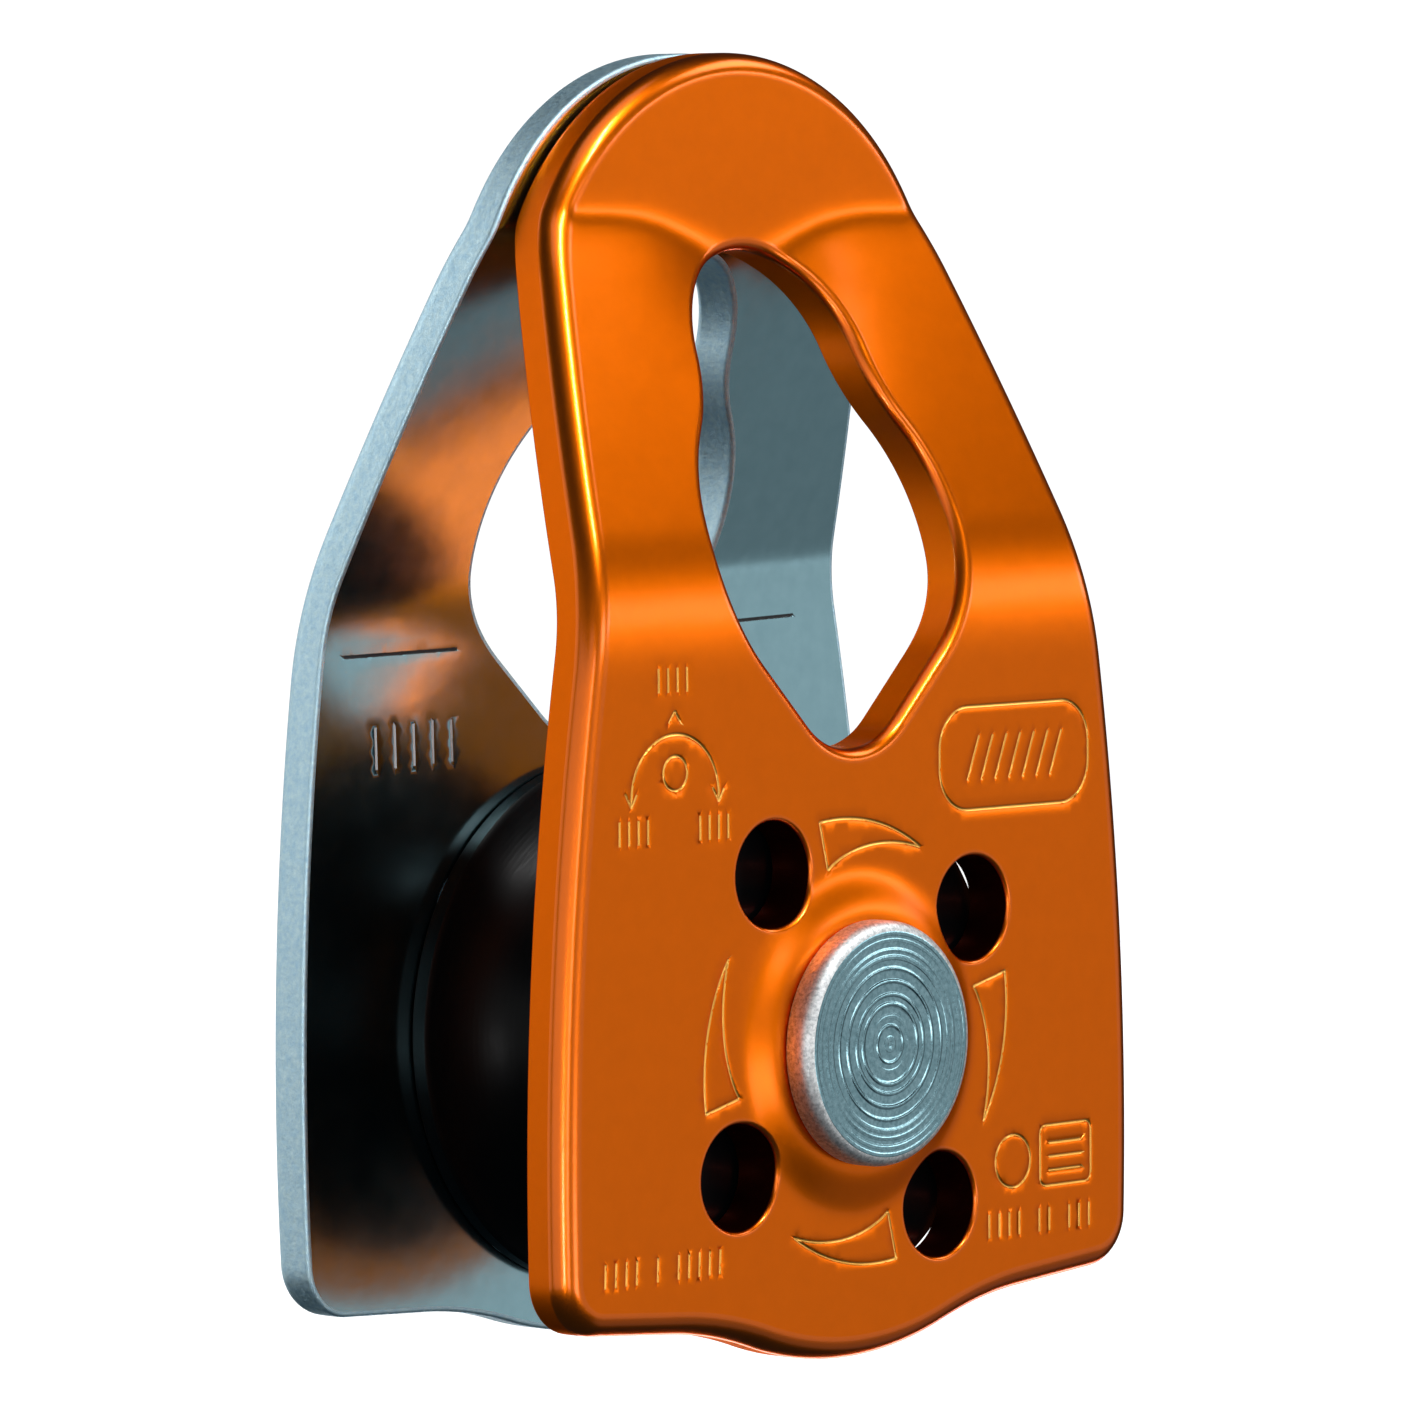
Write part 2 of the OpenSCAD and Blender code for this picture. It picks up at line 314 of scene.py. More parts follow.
def rounded_box(low, high, radius):
    x0, z0 = low
    x1, z1 = high
    corners = [(x1 - radius, z1 - radius), (x0 + radius, z1 - radius),
               (x0 + radius, z0 + radius), (x1 - radius, z0 + radius)]
    strokes = [curve(c, radius, 90 * i, 90 * i + 90) for i, c in enumerate(corners)]
    joins = [stroke(a[-1], b[0]) for a, b in zip(strokes, strokes[1:] + strokes[:1])]
    return strokes + joins


def ticks(start, spacing, groups, height, lean=0.0):
    """Upright strokes in groups, where lettering would be."""
    x, z = start
    marks = []
    for count in groups:
        for _ in range(count):
            marks.append(stroke((x, z), (x + lean * height, z + height)))
            x += spacing
        x += spacing
    return marks


def load_pictogram(centre, radius):
    """An arch with an arrowhead at each foot, a small ring and an arrowhead above."""
    x, z = centre
    left, right = (x - radius, z - 0.5), (x + radius, z - 0.5)
    marks = [curve(centre, radius, 0, 180), stroke((x - radius, z), left),
             stroke((x + radius, z), right), curve((x, z + 1.7), 1.2, 0, 360)]
    for foot in (left, right):
        marks.append(stroke((foot[0] - 0.6, z + 0.5), foot, (foot[0] + 0.6, z + 0.5)))
    top = z + radius + 1.6
    marks.append(stroke((x - 0.6, top - 0.8), (x, top), (x + 0.6, top - 0.8)))
    return marks


def front_marks():
    strokes = [s for i in range(4) for s in wedge(104 - 90 * i)]
    strokes += load_pictogram((-18.7, 18.3), 4.4)
    strokes += rounded_box((8.8, 15.8), (25, 23.2), 3)
    strokes += rounded_box((19.6, -12), (25.2, -7.6), 0.6)
    strokes += [stroke((20.6, z), (24.2, z)) for z in (-8.9, -9.9, -10.9)]
    strokes.append(curve((16.6, -9.9), 1.9, 0, 360))
    strokes += ticks((-20.3, 25.6), 0.95, [4], TICK_H)
    strokes += ticks((-24.3, 15.2), 0.95, [4], TICK_H) + ticks((-16.2, 15.2), 0.95, [4], TICK_H)
    strokes += ticks((-26, -15.2), 1.05, [4, 1, 5], TICK_H, 0.04)
    strokes += ticks((14, -15.3), 1.1, [4, 2, 3], TICK_H)
    strokes += ticks((11.8, 17.9), 1.5, [7], 3.2, 0.4)
    return strokes, []


def rear_inner_marks():
    # Ticks where lettering would be, and two creases that are painted dark as shade.
    return ticks((14.1, 20), 1.9, [5], 3), [stroke((13.3, 28), (24.7, 28.2)),
                                            stroke((-22.1, 28), (-15.6, 28))]


def tree_of(points):
    tree = kdtree.KDTree(len(points))
    for i, (x, z) in enumerate(points):
        tree.insert((x, z, 0), i)
    tree.balance()
    return tree


class Stamp:
    """What is pressed into a face: how deep, in which zone, and the points that it needs."""

    def __init__(self, strokes, creases):
        sets = [(strokes, LINE_HALF, LINE_DEPTH, MARK, 0.3),
                # Creases keep their zone out to the groove's edge, so the painted shade fills the
                # whole groove.
                (creases, CREASE_HALF, CREASE_DEPTH, CREASE, 0.03)]
        self.sets = [(lines, tree_of(np.concatenate(lines)), *rest) for lines, *rest in sets if lines]

    @staticmethod
    def share(tree, points, reach):
        gaps = np.array([tree.find((x, z, 0))[2] for x, z in points])
        return np.cos(np.clip(gaps / reach, 0, 1) * math.pi / 2) ** 2

    def depth(self, points):
        depth = np.zeros(len(points))
        for _, tree, reach, full, *_ in self.sets:
            depth = np.maximum(depth, full * self.share(tree, points, reach))
        return depth

    def zones(self, points):
        zones = np.full(len(points), FACE)
        for _, tree, reach, _, zone, least in self.sets:
            zones[self.share(tree, points, reach) > least] = zone
        return zones

    def points(self, every=2):
        """Points across each line."""
        found = [np.empty((0, 2))]
        for lines, _, reach, *_ in self.sets:
            for line in lines:
                along = np.gradient(line, axis=0)
                across = along[:, ::-1] * (1, -1) / np.linalg.norm(along, axis=1)[:, None]
                found += [(line + across * side)[::every] for side in np.linspace(-1, 1, 7) * reach]
        return np.concatenate(found)


# ---------------------------------------------------------------- meshes


class Shell:
    """Gathers the faces of a closed shape in millimetres; points that coincide become one."""

    def __init__(self):
        self.points = []
        self.faces = []
        self.zones = []

    def add(self, points, faces, zone=WALL):
        first = sum(len(p) for p in self.points)
        self.points.append(np.asarray(points, float))
        self.faces += [[int(i) + first for i in face] for face in faces]
        self.zones += [int(zone)] * len(faces)

    def add_rings(self, rings, zone=WALL):
        """Quads between rings that have the same number of points."""
        count = len(rings[0])
        faces = [(r * count + i, r * count + (i + 1) % count,
                  (r + 1) * count + (i + 1) % count, (r + 1) * count + i)
                 for r in range(len(rings) - 1) for i in range(count)]
        self.add(np.concatenate(rings), faces, zone)

    def build(self, name, sharp=None):
        mesh = bpy.data.meshes.new(name)
        mesh.from_pydata(np.concatenate(self.points).tolist(), [], self.faces)
        mesh.polygons.foreach_set("material_index", self.zones)
        shape = bmesh.new()
        shape.from_mesh(mesh)
        bmesh.ops.remove_doubles(shape, verts=shape.verts, dist=1e-4)
        bmesh.ops.recalc_face_normals(shape, faces=shape.faces)
        bmesh.ops.scale(shape, vec=(MM, MM, MM), verts=shape.verts)
        shape.to_mesh(mesh)
        shape.free()
        mesh.shade_smooth()
        if sharp is not None:
            mesh.set_sharp_from_angle(angle=math.radians(sharp))
        piece = bpy.data.objects.new(name, mesh)
        bpy.context.scene.collection.objects.link(piece)
        return piece


def inside(points, loops):
    """Which points lie in the region between the loops."""
    crossings = np.zeros(len(points), int)
    for loop in loops:
        for a, b in zip(loop, np.roll(loop, -1, axis=0)):
            if a[1] == b[1]:
                continue
            level = (a[1] > points[:, 1]) != (b[1] > points[:, 1])
            reach = a[0] + (points[:, 1] - a[1]) * (b[0] - a[0]) / (b[1] - a[1])
            crossings += level & (points[:, 0] < reach)
    return crossings % 2 == 1


def clear_of(points, others, gap):
    """Which points keep a gap to all the others."""
    tree = tree_of(others)
    return np.array([tree.find((x, z, 0))[2] > gap for x, z in points], bool)


def filled(loops, free):
    """Triangles that fill the region between the loops and pass through the free points."""
    edges = []
    first = 0
    for loop in loops:
        ids = list(range(first, first + len(loop)))
        edges += list(zip(ids, ids[1:] + ids[:1]))
        first += len(loop)
    corners = [Vector(p) for p in np.concatenate([*loops, free])]
    points, _, faces, *_ = geometry.delaunay_2d_cdt(corners, edges, [], 0, 1e-7)
    points = np.array(points)
    faces = np.array(faces)
    return points, faces[inside(points[faces].mean(axis=1), loops)]


def face_grid(loops, stamp, boss):
    """Free points for a face: an even grid, rings over the raised cone, and the marks' own."""
    low, high = loops[0].min(axis=0), loops[0].max(axis=0)
    row = FACE_STEP * math.sqrt(3) / 2
    rows = np.arange(low[1], high[1], row)
    lines = [np.arange(low[0] + FACE_STEP / 2 * (i % 2), high[0], FACE_STEP)
             for i in range(len(rows))]
    grid = np.concatenate([np.stack([x, np.full(len(x), z)], axis=1)
                           for x, z in zip(lines, rows)])
    edges = np.concatenate(loops)
    marks = stamp.points()
    if boss:
        ring_radii = np.arange(BOSS_TOP_R - RING_MARGIN, BOSS_R + RING_MARGIN, RING_STEP)
        grid = grid[np.linalg.norm(grid, axis=1) > ring_radii[-1] + RING_STEP]
        rings = [r * direction(np.linspace(0, 360, int(r * RING_POINTS_PER_MM), endpoint=False))
                 for r in ring_radii]
        grid = np.concatenate([grid, *rings])
    if len(marks):
        cells = np.round(marks / MARK_CELL).astype(int)
        marks = marks[np.unique(cells, axis=0, return_index=True)[1]]
        grid = grid[clear_of(grid, marks, MARK_GAP)]
    free = np.concatenate([grid, marks])
    free = free[inside(free, loops)]
    return free[clear_of(free, edges, EDGE_GAP)]


def edge_profile(outer_round, inner_round):
    """Steps round a plate's edge: how far in from the wall, and how deep below the outer face
    or, once past the middle, how high above the inner one."""
    lead = 0.1
    turn = np.radians(np.linspace(0, 90, ROUND_STEPS + 1))
    steps = [(outer_round + lead, "outer", 0)]
    steps += [(outer_round * (1 - math.sin(a)), "outer", outer_round * (1 - math.cos(a)))
              for a in turn]
    steps.append((0, "outer", outer_round + lead))
    steps.append((0, "inner", inner_round + lead))
    steps += [(inner_round * (1 - math.cos(a)), "inner", inner_round * (1 - math.sin(a)))
              for a in turn[::2]]
    steps.append((inner_round + lead, "inner", 0))
    return steps


def side_plate(name, outer_stamp, inner_stamp):
    """A side plate in the front plate's place."""

    def outer_y(p):
        rise = np.clip((BOSS_R - np.linalg.norm(p, axis=1)) / (BOSS_R - BOSS_TOP_R), 0, 1)
        boss = BOSS_H * (1 - np.cos(math.pi * rise)) / 2
        return stock_y(p[:, 0], p[:, 1], -stock_half) - boss

    def inner_y(p):
        return stock_y(p[:, 0], p[:, 1], stock_half)

    def placed(p, y):
        return np.stack([p[:, 0], y, p[:, 1]], axis=1)

    shell = Shell()
    edges = [(plate_outline(), SIDE_ROUND, WALL), (eye_outline(), EYE_ROUND, WALL)]
    edges += [(round_hole(c, HOLE_R, 0.4), HOLE_ROUND, HOLE) for c in hole_centres]
    outer_loops = []
    inner_loops = []
    for (points, inward), outer_round, wall in edges:
        rings = []
        steps = edge_profile(outer_round, HOLE_BACK_ROUND if wall == HOLE else BACK_ROUND)
        for inset, side, depth in steps:
            p = points + inset * inward
            y = outer_y(p) + depth if side == "outer" else inner_y(p) - depth
            rings.append(placed(p, y))
        shell.add_rings(rings[:ROUND_STEPS + 2], ROUNDING)
        shell.add_rings(rings[ROUND_STEPS + 1:], wall)
        outer_loops.append(points + steps[0][0] * inward)
        inner_loops.append(points + steps[-1][0] * inward)

    bore, _ = round_hole((0, 0), BORE_R)
    recess, _ = round_hole((0, 0), RECESS_R)
    floor = np.full(len(bore), -INNER_GAP / 2 - RECESS_DEPTH)
    shell.add_rings([placed(bore, outer_y(bore)), placed(bore, floor)])
    floor_points, floor_faces = filled([recess, bore], np.empty((0, 2)))
    shell.add(placed(floor_points, np.full(len(floor_points), floor[0])), floor_faces)
    shell.add_rings([placed(recess, np.full(len(recess), floor[0])),
                     placed(recess, inner_y(recess))])
    outer_loops.append(bore)
    inner_loops.append(recess)

    for loops, stamp, face_y, inwards in ((outer_loops, outer_stamp, outer_y, 1),
                                          (inner_loops, inner_stamp, inner_y, -1)):
        points, faces = filled(loops, face_grid(loops, stamp, boss=inwards > 0))
        zones = stamp.zones(points[faces].mean(axis=1))
        pressed = placed(points, face_y(points) + inwards * stamp.depth(points))
        for zone in np.unique(zones):
            shell.add(pressed, faces[zones == zone], zone)
    return shell.build(name, sharp=50)


def turned(name, profile, segments=192, sharp=50):
    """A profile of [radius, place along the axle] turned about the axle."""
    shell = Shell()
    turn = np.radians(np.linspace(0, 360, segments, endpoint=False))
    rings = [np.stack([r * np.cos(turn), np.full(segments, y), r * np.sin(turn)], axis=1)
             for r, y in profile]
    shell.add_rings(rings)
    return shell.build(name, sharp)


# ---------------------------------------------------------------- turned pieces

axle_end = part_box("axle")[1].y / MM
head_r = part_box("axle")[1].x / MM
head_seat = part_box("rear_axle_head")[0].y / MM
AXLE_R = 6
RIVET_R = 4.5
RIVET_CONE = 0.8
RIVET_FIT = 0.01
HEAD_ROUND = 0.9
HEAD_DISH = 0.08
HEAD_SEAT_ROUND = 0.15
CUTTER_STEP = 0.055


def facing_lines(radii, seed):
    """The uneven ridges that a cutter leaves on a faced end, as heights at the radii."""
    random = np.random.default_rng(seed)
    heights = np.zeros(len(radii))
    place = 0.4
    while place < head_r:
        width = random.uniform(0.1, 0.2)
        heights += random.uniform(0.03, 0.07) * np.exp(-(((radii - place) / width) ** 2))
        place += random.uniform(0.42, 0.95)
    return heights


def faced_end(outer_r, inner_r, seed):
    """A dished face with cutter lines, from its rim in: [radius, depth below the rim]."""
    radii = np.arange(outer_r, inner_r, -CUTTER_STEP)
    dish = HEAD_DISH * (1 - (radii / outer_r) ** 2)
    fade = np.clip((outer_r - radii) / 0.2, 0, 1)
    return [(r, d) for r, d in zip(radii, dish - fade * facing_lines(radii, seed) + 0.045 * fade)]


def quarter(centre, radius, start, end, steps=8):
    return [tuple(np.array(centre) + radius * direction(a)) for a in np.linspace(start, end, steps)]


def axle():
    """The axle with its front head, whose rim and flank are blasted and take a second, paler finish
    that is partly a painted highlight.
    """
    rim = quarter((head_r - HEAD_ROUND, HEAD_ROUND - axle_end), HEAD_ROUND, -90, 0)
    face = [(r, d - axle_end) for r, d in faced_end(head_r - HEAD_ROUND, 0, 4)]
    rear = [(r, axle_end) for r in (0.9 * RIVET_R, 0.5 * RIVET_R, 0)]
    profile = [(0, face[-1][1])] + face[::-1] + rim
    profile += [(head_r, -head_seat - HEAD_SEAT_ROUND), (head_r - HEAD_SEAT_ROUND, -head_seat),
                (AXLE_R, -head_seat), (AXLE_R, head_seat), (RIVET_R, head_seat),
                (RIVET_R, axle_end - RIVET_CONE), (RIVET_R + RIVET_CONE, axle_end - 0.12),
                (RIVET_R + RIVET_CONE - 0.12, axle_end)]
    profile += rear
    piece = turned("axle_turned", profile)
    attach(piece, "axle_group")
    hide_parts("axle")
    for polygon in piece.data.polygons:
        reach = math.hypot(polygon.center.x, polygon.center.z) / MM
        polygon.material_index = int(reach > head_r - 0.7 * HEAD_ROUND)
    return piece


def rear_head():
    """The ring that is riveted over the axle's rear end."""
    rim = quarter((head_r - HEAD_ROUND, axle_end - HEAD_ROUND), HEAD_ROUND, 90, 0)
    inner_r = RIVET_R + RIVET_CONE + RIVET_FIT
    radii = np.arange(head_r - HEAD_ROUND, inner_r + 0.1, -CUTTER_STEP)
    lines = facing_lines(radii, 9)
    face = [(r, axle_end - 0.05 + h) for r, h in zip(radii, lines - lines.max() + 0.05)]
    profile = [(inner_r, axle_end - 0.15), (inner_r + 0.1, axle_end - 0.05)] + face[::-1] + rim
    profile += [(head_r, head_seat + HEAD_SEAT_ROUND), (head_r - HEAD_SEAT_ROUND, head_seat),
                (RIVET_R + RIVET_FIT, head_seat), (RIVET_R + RIVET_FIT, axle_end - RIVET_CONE)]
    piece = turned("rear_axle_head_turned", profile + profile[:1])
    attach(piece, "axle_group")
    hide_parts("rear_axle_head")
    return piece


sheave_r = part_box("sheave")[1].x / MM
sheave_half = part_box("sheave")[1].y / MM
REAR_LIP_GAP = 0.1
rear_lip_y = INNER_GAP / 2 - REAR_LIP_GAP
GROOVE_R = 10
GROOVE_BOTTOM_R = 12
SHEAVE_LAND_R = 9.3
BEARING_SEAT_R = 10.5
BEARING_START = 5.2
LIP_ROUND = 0.15
SHEAVE_EDGE = 0.12


def sheave():
    """The sheave; its rear rim reaches closer to the plate, so that it covers the holes there."""
    groove_c = (GROOVE_BOTTOM_R + GROOVE_R, 0)
    mouth = math.degrees(math.acos((groove_c[0] - sheave_r + 0.15) / GROOVE_R))
    groove = quarter(groove_c, GROOVE_R, 180 + mouth, 180 - mouth, 72)
    rim_r = sheave_r - LIP_ROUND
    front_lip = quarter((rim_r, LIP_ROUND - sheave_half), LIP_ROUND, -90, 0, 6)
    rear_lip = quarter((rim_r, rear_lip_y - LIP_ROUND), LIP_ROUND, 0, 90, 6)
    edge = SHEAVE_EDGE
    profile = [(BEARING_SEAT_R + edge, -sheave_half)] + front_lip
    profile += [(sheave_r, groove[0][1] - edge)] + groove + [(sheave_r, groove[-1][1] + edge)]
    profile += rear_lip + [(BEARING_SEAT_R + edge, rear_lip_y)]
    profile += [(BEARING_SEAT_R, rear_lip_y - edge), (BEARING_SEAT_R, BEARING_START),
                (SHEAVE_LAND_R, BEARING_START), (SHEAVE_LAND_R, -BEARING_START),
                (BEARING_SEAT_R, -BEARING_START), (BEARING_SEAT_R, edge - sheave_half)]
    piece = turned("sheave_turned", profile + profile[:1], segments=256, sharp=30)
    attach(piece, "sheave_group")
    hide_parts("sheave")
    return piece


# ---------------------------------------------------------------- materials


class Finish:
    """A node material with a Principled shader, and short ways to wire its surface detail."""

    def __init__(self, name, colour, roughness, metallic=1.0, **fixed):
        self.material = bpy.data.materials.new(name)
        self.material.use_nodes = True
        self.nodes = self.material.node_tree.nodes
        self.links = self.material.node_tree.links
        self.shader = self.nodes["Principled BSDF"]
        self.shader.inputs["Base Color"].default_value = (*colour, 1)
        self.shader.inputs["Roughness"].default_value = roughness
        self.shader.inputs["Metallic"].default_value = metallic
        for socket, value in fixed.items():
            self.shader.inputs[socket.replace("_", " ")].default_value = value
        self.place = self.nodes.new("ShaderNodeTexCoord").outputs["Object"]

    def stretched(self, x, y, z):
        """Object coordinates scaled along each axis."""
        node = self.nodes.new("ShaderNodeMapping")
        node.inputs["Scale"].default_value = (x, y, z)
        self.links.new(self.place, node.inputs["Vector"])
        return node.outputs["Vector"]

    def noise(self, size, detail=2, rough=0.5, vector=None):
        """Noise whose lumps are about size millimetres."""
        node = self.nodes.new("ShaderNodeTexNoise")
        node.inputs["Scale"].default_value = 1 / (size * MM)
        node.inputs["Detail"].default_value = detail
        node.inputs["Roughness"].default_value = rough
        self.links.new(vector or self.place, node.inputs["Vector"])
        return node.outputs["Fac"]

    def pits(self, size, vector=None):
        """Distance to the nearest of many scattered points about size millimetres apart."""
        node = self.nodes.new("ShaderNodeTexVoronoi")
        node.inputs["Scale"].default_value = 1 / (size * MM)
        self.links.new(vector or self.place, node.inputs["Vector"])
        return node.outputs["Distance"]

    def ranged(self, value, low, high, to_low, to_high):
        node = self.nodes.new("ShaderNodeMapRange")
        node.inputs["From Min"].default_value = low
        node.inputs["From Max"].default_value = high
        node.inputs["To Min"].default_value = to_low
        node.inputs["To Max"].default_value = to_high
        self.links.new(value, node.inputs["Value"])
        return node.outputs["Result"]

    def colours(self, value, *stops):
        """A colour ramp: stops are (place, colour)."""
        node = self.nodes.new("ShaderNodeValToRGB")
        ramp = node.color_ramp
        while len(ramp.elements) < len(stops):
            ramp.elements.new(1)
        for element, (place, colour) in zip(ramp.elements, stops):
            element.position = place
            element.color = (*colour, 1)
        self.links.new(value, node.inputs["Fac"])
        self.links.new(node.outputs["Color"], self.shader.inputs["Base Color"])

    def rough(self, value, to_low, to_high, low=0.3, high=0.7):
        """Roughness that runs between two values as a noise runs from low to high."""
        self.links.new(self.ranged(value, low, high, to_low, to_high),
                       self.shader.inputs["Roughness"])

    def bump(self, *layers, sockets=("Normal",)):
        """Bump from layers of (height, depth in millimetres)."""
        normal = None
        for height, depth in layers:
            node = self.nodes.new("ShaderNodeBump")
            node.inputs["Distance"].default_value = depth * MM
            self.links.new(height, node.inputs["Height"])
            if normal is not None:
                self.links.new(normal, node.inputs["Normal"])
            normal = node.outputs["Normal"]
        for socket in sockets:
            self.links.new(normal, self.shader.inputs[socket])

    def rings(self, size):
        """Even rings about the axle, about size millimetres apart."""
        node = self.nodes.new("ShaderNodeTexWave")
        node.wave_type = "RINGS"
        node.rings_direction = "Y"
        node.inputs["Scale"].default_value = 0.314 / (size * MM)
        node.inputs["Distortion"].default_value = 1.2
        node.inputs["Detail"].default_value = 3
        node.inputs["Detail Scale"].default_value = 2
        self.links.new(self.place, node.inputs["Vector"])
        return node.outputs["Fac"]


def anodised(name, dye, coat, coat_ior=1.5, rough=(0.28, 0.33)):
    finish = Finish(name, dye, 0.42, Coat_Weight=coat, Coat_Roughness=0.13, Coat_IOR=coat_ior,
                    Specular_Tint=(1, 0.4, 0.1, 1))
    paler, deeper = (tuple(k * c for c in dye) for k in (1.02, 0.98))
    finish.colours(finish.noise(1.6, 4, 0.6), (0.3, deeper), (0.7, paler))
    finish.rough(finish.noise(0.13, 3, 0.7), *rough, low=0.35, high=0.65)
    finish.bump((finish.noise(0.14, 2), 0.004), (finish.noise(5, 2), 0.02),
                sockets=("Normal", "Coat Normal"))
    return finish.material


def tumbled_metal():
    finish = Finish("tumbled_metal", (0.5, 0.57, 0.61), 0.4)
    finish.colours(finish.noise(0.5, 5, 0.7), (0.3, (0.5, 0.76, 0.92)), (0.7, (0.74, 0.95, 1)))
    finish.rough(finish.noise(0.3, 3, 0.7), 0.42, 0.6)
    finish.bump((finish.noise(0.2, 3, 0.6), 0.014), (finish.noise(1.2, 3, 0.6), 0.05),
                (finish.ranged(finish.pits(0.7), 0, 0.35, 0, 1), 0.01))
    return finish.material


def satin_metal():
    finish = Finish("satin_metal", (0.48, 0.64, 0.72), 0.22)
    finish.colours(finish.noise(1.5, 3, 0.6), (0.3, (0.36, 0.6, 0.67)), (0.7, (0.4, 0.65, 0.72)))
    finish.rough(finish.noise(2, 3, 0.6), 0.15, 0.19)
    finish.bump((finish.noise(0.1, 1), 0.0012), (finish.noise(3, 2), 0.01))
    return finish.material


def black_anodised():
    finish = Finish("black_anodised", (0.001, 0.0015, 0.002), 0.2, metallic=0.0,
                    Specular_IOR_Level=0.1)
    finish.rough(finish.noise(0.5, 3, vector=finish.stretched(0.3, 6, 0.3)), 0.3, 0.4)
    finish.bump((finish.rings(0.3), 0.0015))
    return finish.material


def turned_steel():
    finish = Finish("turned_steel", (0.55, 0.6, 0.62), 0.3)
    finish.colours(finish.noise(0.35, 3, 0.6), (0.3, (0.2, 0.36, 0.41)), (0.7, (0.34, 0.54, 0.6)))
    finish.rough(finish.noise(0.3, 3, 0.6), 0.16, 0.22)
    finish.bump((finish.rings(0.16), 0.003), (finish.noise(0.25, 2), 0.0015))
    return finish.material


# Blasted grain, made paler than bare steel: partly a painted highlight on the head's rim and flank.
def blasted_steel_painted_highlight():
    finish = Finish("blasted_steel_painted_highlight", (0.8, 0.8, 0.78), 0.5)
    finish.colours(finish.noise(0.3, 4, 0.7), (0.35, (0.5, 0.53, 0.54)), (0.6, (0.95, 0.96, 0.96)))
    finish.bump((finish.noise(0.25, 3, 0.6), 0.02))
    return finish.material


def bright_steel(name, colour, size):
    finish = Finish(name, colour, 0.22)
    finish.rough(finish.noise(size, 3), 0.16, 0.3)
    finish.bump((finish.rings(0.12), 0.002))
    return finish.material


def moulded(name, colour, roughness):
    finish = Finish(name, colour, roughness, metallic=0.0)
    finish.rough(finish.noise(0.4, 3), roughness - 0.08, roughness + 0.1)
    finish.bump((finish.noise(0.15, 2), 0.006))
    return finish.material


def paint(piece, *materials):
    """Gives a piece its materials, one for each zone."""
    zones = [polygon.material_index for polygon in piece.data.polygons]
    piece.data.materials.clear()
    for material in materials:
        piece.data.materials.append(material)
    if len(materials) > 1:
        piece.data.polygons.foreach_set("material_index", zones)


# ---------------------------------------------------------------- the pieces


def plates():
    dye = (0.92, 0.163, 0.0005)
    face = anodised("orange_anodised", dye, 0.15)
    oranges = [anodised("orange_wall", dye, 0.06, rough=(0.42, 0.5)), face,
               anodised("orange_rounding", dye, 0.4, 1.6),
               # The hole walls take a much darker orange: partly a deeper dye in the drilled walls,
               # partly painted shade in the holes.
               anodised("orange_hole_dye_and_painted_shade", (0.2, 0.02, 0.001), 0.2),
               # The stamped strokes take a paler, yellower orange: a painted highlight on the
               # strokes.
               anodised("orange_mark_painted_highlight", (1, 0.5, 0.09), 0.4), face]
    front = side_plate("front_plate_pressing", Stamp(*front_marks()), Stamp([], []))
    paint(front, *oranges)
    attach(front, "front_plate")
    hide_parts("front_side_plate")
    rear = side_plate("rear_plate_pressing", Stamp([], []), Stamp(*rear_inner_marks()))
    rear.data.transform(Matrix.Rotation(math.radians(REAR_TURN), 4, "Y")
                        @ Matrix.Rotation(math.pi, 4, "Z"))
    tumbled = tumbled_metal()
    # The rear plate's stamped ticks are painted near white: a painted highlight on the marks.
    bright = moulded("mark_painted_highlight", (0.9, 0.93, 0.95), 0.5)
    # The rear plate's creases are painted near black: painted shade in the creases.
    shade = moulded("crease_painted_shade", (0.02, 0.025, 0.03), 0.5)
    paint(rear, tumbled, satin_metal(), tumbled, tumbled, bright, shade)
    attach(rear, "rear_plate")
    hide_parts("rear_side_plate")


def turned_pieces():
    steel = turned_steel()
    paint(axle(), steel, blasted_steel_painted_highlight())
    paint(rear_head(), steel)
    paint(sheave(), black_anodised())


def carried_over_nodes():
    finishes = {
        "spacer": bright_steel("spacer_steel", (0.5, 0.52, 0.55), 0.5),
        "washer": moulded("washer_polymer", (0.75, 0.72, 0.62), 0.4),
        "ring": bright_steel("bearing_steel", (0.56, 0.57, 0.58), 0.4),
        "balls": bright_steel("ball_steel", (0.7, 0.71, 0.72), 0.8),
        "cage": moulded("cage_polymer", (0.55, 0.42, 0.25), 0.45),
        "seal": moulded("seal_rubber", (0.03, 0.03, 0.032), 0.6),
    }
    for name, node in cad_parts.items():
        kind = name.rsplit("_", 1)[-1]
        if kind in finishes:
            paint(node, finishes[kind])


# ---------------------------------------------------------------- camera, lights and floor

AIM = Vector((0, 0, 0.02333))
VIEW_AZIMUTH = -46.83
VIEW_ELEVATION = 3.36
VIEW_DISTANCE = 0.6305
VIEW_ROLL = -0.31
LENS = 224.25

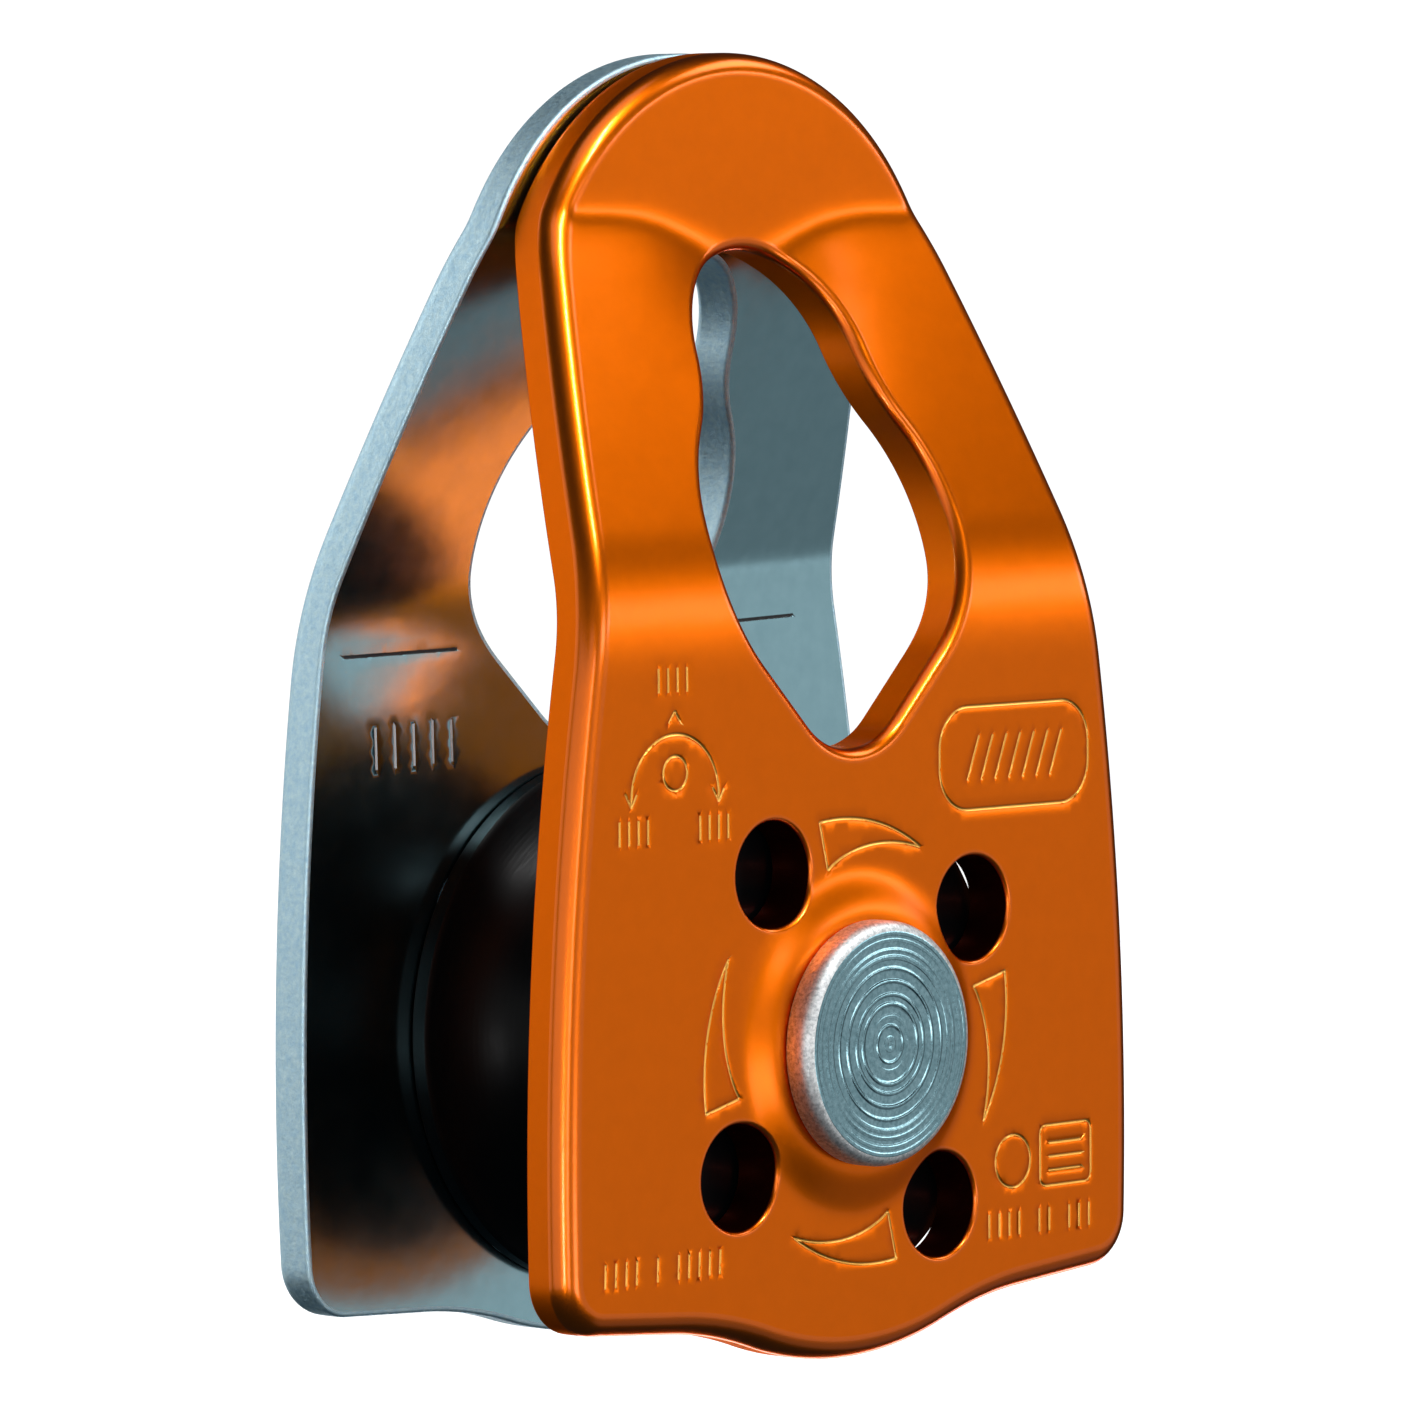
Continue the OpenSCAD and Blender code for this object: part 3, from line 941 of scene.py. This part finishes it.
# Soft boxes: azimuth, elevation, distance in metres, width, height, radiance
SOFT_BOXES = {
    "wide_light": (47, -3, 0.9, 0.8, 0.6, 0.48),
    "bend_light": (52, 11, 2, 1.2, 0.16, 4),
    "slant_light": (63, 40, 0.9, 0.5, 0.25, 3.7),
    "edge_light": (2, 50, 0.9, 0.05, 0.3, 75),
    "left_light": (-28, -1, 0.9, 0.14, 0.5, 3.6),
    "corner_light": (-50, -11, 0.6, 0.06, 0.06, 25),
    "front_light": (12, 14, 0.9, 0.3, 0.14, 4),
    "front_low_light": (10, -13, 0.9, 0.3, 0.14, 4),
    "top_light": (-20, 75, 0.9, 0.6, 0.6, 1),
    "flank_light": (-80, 0, 0.9, 0.9, 0.6, 0.8),
    "near_light": (-44, 6, 0.9, 0.3, 0.5, 0.8),
    "fill_light": (2, 0, 0.9, 0.5, 0.6, 0.4),
    "side_light": (-133, 5, 0.9, 0.6, 0.8, 0.75),
    "back_light": (200, 30, 0.9, 0.6, 0.5, 1.1),
    "rear_light": (180, 0, 0.9, 0.9, 0.7, 0.55),
    "rear_right_light": (138, -10, 0.9, 0.6, 0.5, 0.45),
    "under_light": (60, -32, 0.9, 0.6, 0.4, 0.18),
    "gap_light": (124, -31, 0.9, 0.4, 0.16, 4.5),
}
SURROUND_TINT = (0.45, 0.8, 1, 1)
SURROUND_STRENGTH = 0.035

# Floor and backdrop, in metres; the floor glows a little less near the object
FLOOR_R = 1.2
FLOOR_GAP = 0.002
FLOOR_GLOW = 0.75
FULL_GLOW = 1
GLOW_RISES_FROM = 0.15
GLOW_RISES_TO = 0.7
BACKDROP_R = 2.4


def towards(azimuth, elevation):
    """Unit vector from the object; azimuth 0 is in front of it and 90 at its right."""
    a, e = math.radians(azimuth), math.radians(elevation)
    return Vector((math.sin(a) * math.cos(e), -math.cos(a) * math.cos(e), math.sin(e)))


def camera():
    data = bpy.data.cameras.new("camera")
    data.lens = LENS
    data.sensor_width = 36
    data.clip_start = 0.01
    data.clip_end = 20
    piece = bpy.data.objects.new("camera", data)
    bpy.context.scene.collection.objects.link(piece)
    back = towards(VIEW_AZIMUTH, VIEW_ELEVATION)
    turn = (-back).to_track_quat("-Z", "Y").to_matrix()
    roll = Matrix.Rotation(math.radians(VIEW_ROLL), 3, "Z")
    piece.matrix_world = Matrix.Translation(AIM + back * VIEW_DISTANCE) @ (turn @ roll).to_4x4()
    bpy.context.scene.camera = piece


def soft_box(name, azimuth, elevation, distance, width, height, radiance):
    data = bpy.data.lights.new(name, "AREA")
    data.shape = "RECTANGLE"
    data.size = width
    data.size_y = height
    data.energy = radiance * math.pi * width * height
    piece = bpy.data.objects.new(name, data)
    bpy.context.scene.collection.objects.link(piece)
    back = towards(azimuth, elevation)
    piece.visible_camera = False
    piece.location = AIM + back * distance
    piece.rotation_euler = (-back).to_track_quat("-Z", "Y").to_euler()


def studio():
    for name, setting in SOFT_BOXES.items():
        soft_box(name, *setting)
    world = bpy.data.worlds.new("studio")
    world.use_nodes = True
    background = world.node_tree.nodes["Background"]
    background.inputs["Color"].default_value = SURROUND_TINT
    background.inputs["Strength"].default_value = SURROUND_STRENGTH
    bpy.context.scene.world = world
    bpy.context.scene.view_settings.view_transform = "Standard"


def pale_surface(name, brightness):
    material = bpy.data.materials.new(name)
    material.use_nodes = True
    shader = material.node_tree.nodes["Principled BSDF"]
    shader.inputs["Base Color"].default_value = (0.9, 0.9, 0.9, 1)
    shader.inputs["Roughness"].default_value = 0.9
    shader.inputs["Emission Color"].default_value = (1, 1, 1, 1)
    shader.inputs["Emission Strength"].default_value = brightness
    return material


def stage():
    """A pale floor just below the reach of the rear plate as it swings, and a pale backdrop."""
    floor_z = -cad_box[1].z - FLOOR_GAP
    bpy.ops.mesh.primitive_circle_add(vertices=96, radius=FLOOR_R, fill_type="NGON",
                                      location=(0, 0, floor_z))
    floor = bpy.context.object
    floor.name = "floor"
    material = pale_surface("floor", FLOOR_GLOW)
    nodes, links = material.node_tree.nodes, material.node_tree.links
    place = nodes.new("ShaderNodeTexCoord")
    away = nodes.new("ShaderNodeVectorMath")
    away.operation = "LENGTH"
    links.new(place.outputs["Object"], away.inputs[0])
    fade = nodes.new("ShaderNodeMapRange")
    fade.inputs["From Min"].default_value = GLOW_RISES_FROM
    fade.inputs["From Max"].default_value = GLOW_RISES_TO
    fade.inputs["To Min"].default_value = FLOOR_GLOW
    fade.inputs["To Max"].default_value = FULL_GLOW
    links.new(away.outputs["Value"], fade.inputs["Value"])
    links.new(fade.outputs["Result"], nodes["Principled BSDF"].inputs["Emission Strength"])
    paint(floor, material)
    bpy.ops.mesh.primitive_uv_sphere_add(segments=48, ring_count=24, radius=BACKDROP_R)
    backdrop = bpy.context.object
    backdrop.name = "backdrop"
    backdrop.data.shade_smooth()
    paint(backdrop, pale_surface("backdrop", FULL_GLOW))
    for surface in (floor, backdrop):
        surface.visible_diffuse = False
        surface.visible_glossy = False
        surface.visible_shadow = False


camera()
plates()
turned_pieces()
carried_over_nodes()
studio()
stage()
